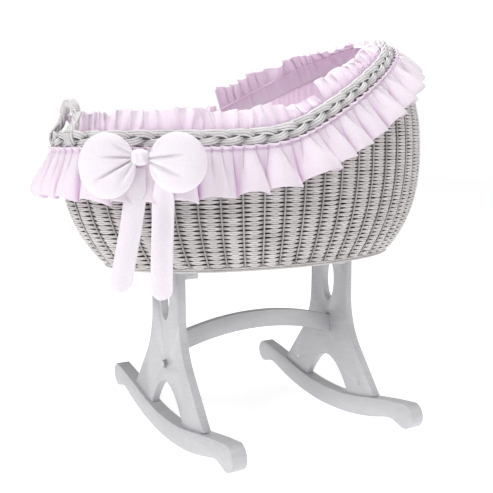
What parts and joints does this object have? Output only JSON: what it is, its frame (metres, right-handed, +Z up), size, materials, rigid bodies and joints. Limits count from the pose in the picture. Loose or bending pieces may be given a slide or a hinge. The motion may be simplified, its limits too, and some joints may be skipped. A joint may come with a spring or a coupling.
{
  "type": "moses basket on rocking stand",
  "caption": "Woven baby basket with a raised hood end, braided rim, gathered cotton skirt and stuffed bow, on a wooden rocking stand.",
  "frame": {"origin": "on the floor, under the middle of the crib's overall length and width", "axes": "+X from the foot end to the hood end, +Y across to the side away from the bow, +Z up"},
  "size_m": [0.9463, 0.6478, 0.9063],
  "materials": {
    "painted_wood": "light grey paint, satin",
    "beech": "bare beech dowel",
    "steel": "zinc-plated, dull",
    "painted_cane": "light grey painted willow cane, matt",
    "pink_cotton": "pale pink cotton poplin",
    "mattress_cover": "white quilted cotton"
  },
  "bodies": {
    "stand": {"foot_plate": "painted_wood", "head_plate": "painted_wood", "foot_rocker": "painted_wood", "head_rocker": "painted_wood", "stretcher": "painted_wood", "stretcher_dowels": "beech", "rocker_dowels": "beech", "rocker_bolts": "steel", "barrel_nuts": "steel", "plate_bolt": "steel", "plate_insert": "steel", "foot_cleat": "painted_wood", "head_cleat": "painted_wood", "cleat_screws": "steel", "locating_pegs": "beech"},
    "basket": {"wicker_wall": "painted_cane", "wicker_base": "painted_cane", "base_battens": "painted_wood", "batten_screws": "steel", "rim_braid": "painted_cane", "foot_handle": "painted_cane", "lining": "pink_cotton", "inner_frill": "pink_cotton", "hood_frill": "pink_cotton", "outer_skirt": "pink_cotton", "bow_left_loop": "pink_cotton", "bow_right_loop": "pink_cotton", "bow_knot": "pink_cotton", "bow_left_tail": "pink_cotton", "bow_right_tail": "pink_cotton"},
    "mattress": {"mattress": "mattress_cover"}
  },
  "joints": [
    {"name": "basket_lift", "type": "slide", "parent": "stand", "child": "basket", "axis": [0, 0, 1], "range_m": [0, 0.15]},
    {"name": "mattress_lift", "type": "slide", "parent": "basket", "child": "mattress", "axis": [0, 0, 1], "range_m": [0, 0.25]}
  ]
}
